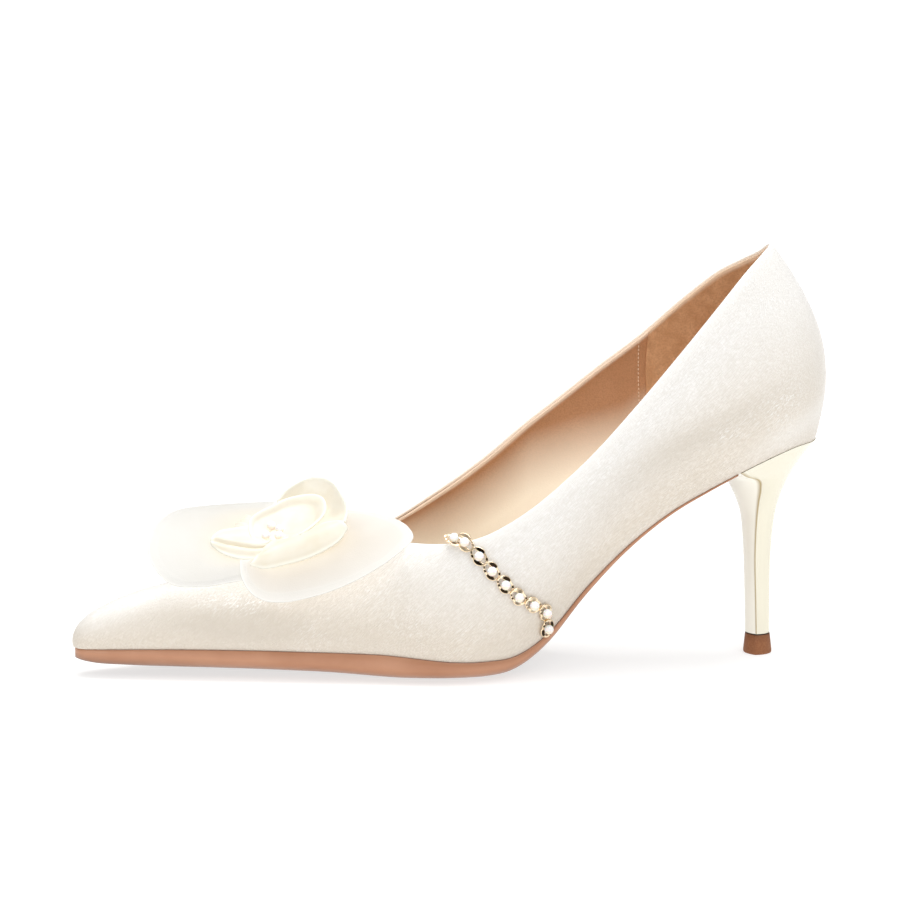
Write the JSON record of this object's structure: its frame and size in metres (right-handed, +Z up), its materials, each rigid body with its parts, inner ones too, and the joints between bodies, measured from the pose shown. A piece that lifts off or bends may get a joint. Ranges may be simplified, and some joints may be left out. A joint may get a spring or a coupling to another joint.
{
  "type": "high heel shoe",
  "caption": "Pointed high-heeled pump for the left foot with a hollow satin upper, plated stiletto heel, flower on the vamp and a pearl chain on the outer side.",
  "frame": {"origin": "on the floor, under the middle of the shoe's bounding box", "axes": "+X from toe to heel, +Y from the lateral (outer) to the medial (inner) side, +Z up"},
  "size_m": [0.2398, 0.0699, 0.1314],
  "materials": {
    "ivory_satin": "ivory satin with a fine slubbed sheen",
    "peach_leather": "matte peach-tan leather",
    "beige_sole": "semi-gloss rose beige",
    "pale_gold": "mirror-polished pale gold plating",
    "caramel_rubber": "matte caramel rubber",
    "white_organza": "sheer stiff organza",
    "cream_satin": "soft cream satin",
    "chain_gold": "polished gold",
    "pearl_white": "pearlescent white"
  },
  "bodies": {
    "root": {"upper": "ivory_satin", "insole": "peach_leather", "outsole": "beige_sole", "heel": "pale_gold", "top_lift": "caramel_rubber", "organza_petal_toe": "white_organza", "organza_petal_heel": "white_organza", "rose_petal_toe": "cream_satin", "rose_petal_front": "cream_satin", "rose_petal_back": "cream_satin", "rose_petal_inner": "cream_satin", "flower_heart": "cream_satin", "flower_pearl_1": "pearl_white", "flower_pearl_2": "pearl_white", "flower_pearl_3": "pearl_white", "flower_pearl_4": "pearl_white", "chain_link_1": "chain_gold", "chain_link_2": "chain_gold", "chain_link_3": "chain_gold", "chain_link_4": "chain_gold", "chain_link_5": "chain_gold", "chain_link_6": "chain_gold", "chain_link_7": "chain_gold", "chain_link_8": "chain_gold", "chain_pearl_1": "pearl_white", "chain_pearl_2": "pearl_white", "chain_pearl_3": "pearl_white", "chain_pearl_4": "pearl_white", "chain_pearl_5": "pearl_white", "chain_pearl_6": "pearl_white", "chain_pearl_7": "pearl_white", "chain_pearl_8": "pearl_white"}
  },
  "joints": []
}
